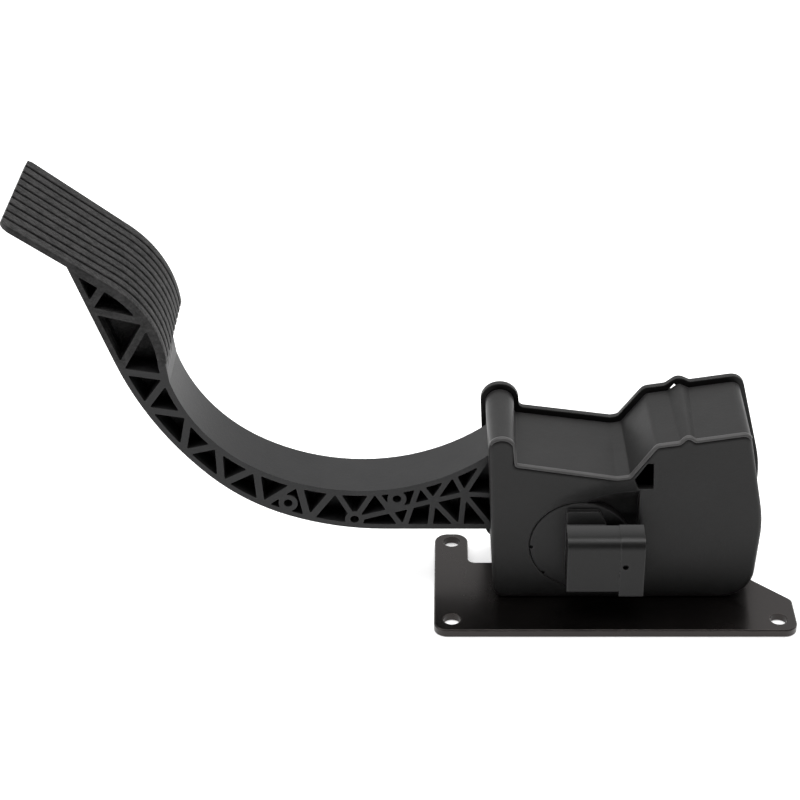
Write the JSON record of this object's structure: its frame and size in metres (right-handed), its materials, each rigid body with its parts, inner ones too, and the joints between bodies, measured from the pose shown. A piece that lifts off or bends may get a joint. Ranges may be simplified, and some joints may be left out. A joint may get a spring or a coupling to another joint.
{
  "type": "accelerator pedal assembly",
  "caption": "Floor-mounted electronic accelerator pedal: ribbed tread on a curved lattice arm, hinged in a moulded housing on a steel plate, with a round angle sensor and plug socket.",
  "frame": {"origin": "midway between the two front bolt holes, on the mounting face", "axes": "+X along the plate away from the tread, +Y from the sensor side to the back cover, +Z off the mounting face"},
  "size_m": [0.3113, 0.0902, 0.1701],
  "materials": {
    "coated_steel": "black coating, satin",
    "housing_plastic": "fine moulded grain",
    "arm_plastic": "moulded, grained tread",
    "sensor_plastic": "smooth moulded",
    "bush_plastic": "smooth moulded",
    "zinc_steel": "zinc plated",
    "ground_steel": "ground",
    "spring_steel": "oiled wire",
    "insert_brass": "turned",
    "pin_metal": "tinned",
    "magnet_metal": "sintered",
    "board_laminate": "solder mask",
    "chip_resin": "moulded resin",
    "stop_rubber": "moulded rubber"
  },
  "bodies": {
    "base": {"mounting_plate": "coated_steel", "front_housing": "housing_plastic", "rear_cover": "housing_plastic", "cover_screws": "zinc_steel", "plate_screws": "zinc_steel", "threaded_inserts": "insert_brass", "front_bush": "bush_plastic", "rear_bush": "bush_plastic", "outer_spring": "spring_steel", "inner_spring": "spring_steel", "upper_spring_seat": "bush_plastic", "idle_stop_pad": "stop_rubber", "full_stop_pad": "stop_rubber", "sensor_body": "sensor_plastic", "sensor_board": "board_laminate", "sensor_chips": "chip_resin", "connector_pins": "pin_metal", "sensor_seal": "stop_rubber"},
    "pedal": {"pedal_arm": "arm_plastic", "pivot_shaft": "ground_steel", "shaft_clip": "spring_steel", "lower_spring_seat": "bush_plastic", "sensor_rotor": "bush_plastic", "rotor_magnet": "magnet_metal"}
  },
  "joints": [
    {"name": "pedal_pivot", "type": "hinge", "parent": "base", "child": "pedal", "pos_m": [-0.0143, 0.038, 0.0303], "axis": [0, -1, 0], "range_deg": [0, 15], "stiffness_Nm_per_rad": 17, "springref_deg": -18.33, "deforming": ["outer_spring", "inner_spring"]}
  ]
}
